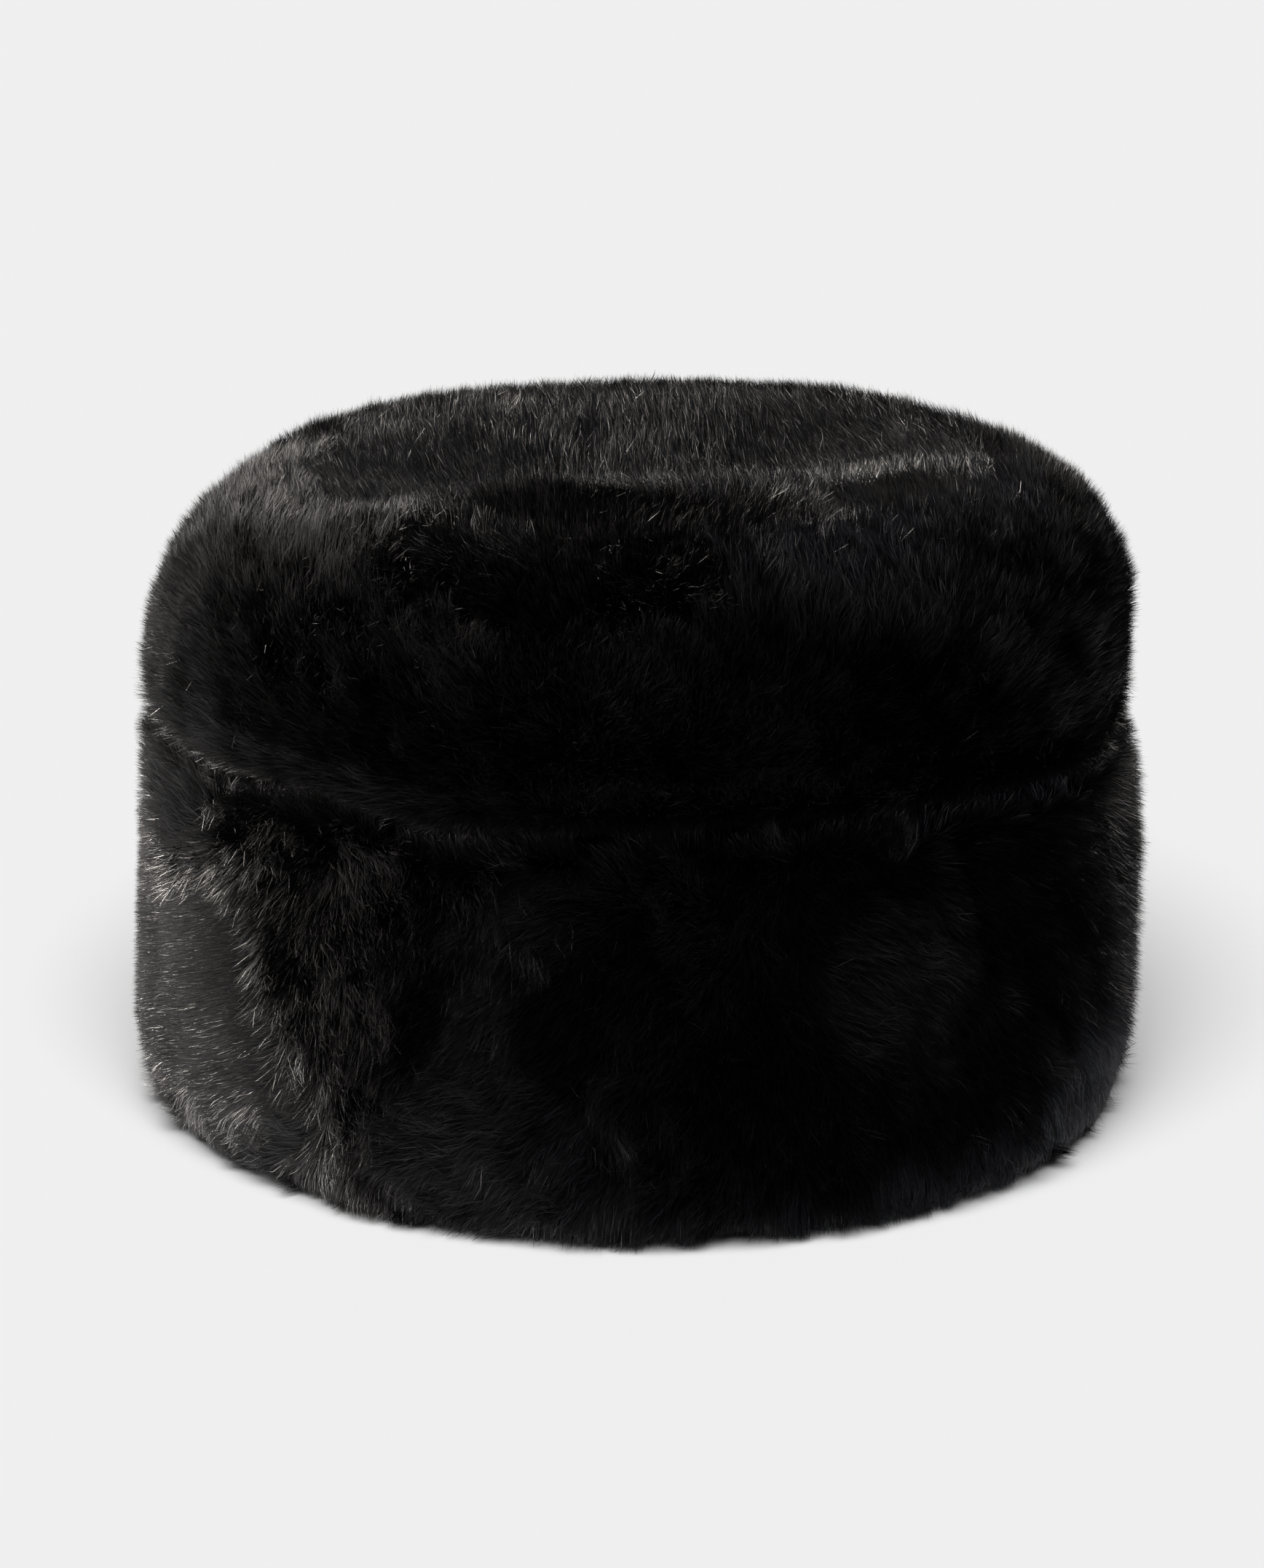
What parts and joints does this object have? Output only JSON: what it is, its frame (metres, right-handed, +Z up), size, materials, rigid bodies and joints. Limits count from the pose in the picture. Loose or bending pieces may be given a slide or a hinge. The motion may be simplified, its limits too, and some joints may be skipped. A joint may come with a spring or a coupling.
{
  "type": "faux fur cuff hat",
  "caption": "Soft black faux-fur hat with a sunken round crown and a deep turned-up cuff, hollow inside for the head.",
  "frame": {"origin": "on the surface the hat stands on, under the middle of its outline", "axes": "+Z up through the crown, -Y out of the hat's front, +X to the right seen from the front"},
  "size_m": [0.241, 0.2472, 0.1585],
  "materials": {
    "cuff": "long-pile black faux fur",
    "crown_side": "long-pile black faux fur",
    "crown_tip": "long-pile black faux fur"
  },
  "bodies": {
    "root": {"cuff": "cuff", "crown_side": "crown_side", "crown_tip": "crown_tip"}
  },
  "joints": []
}
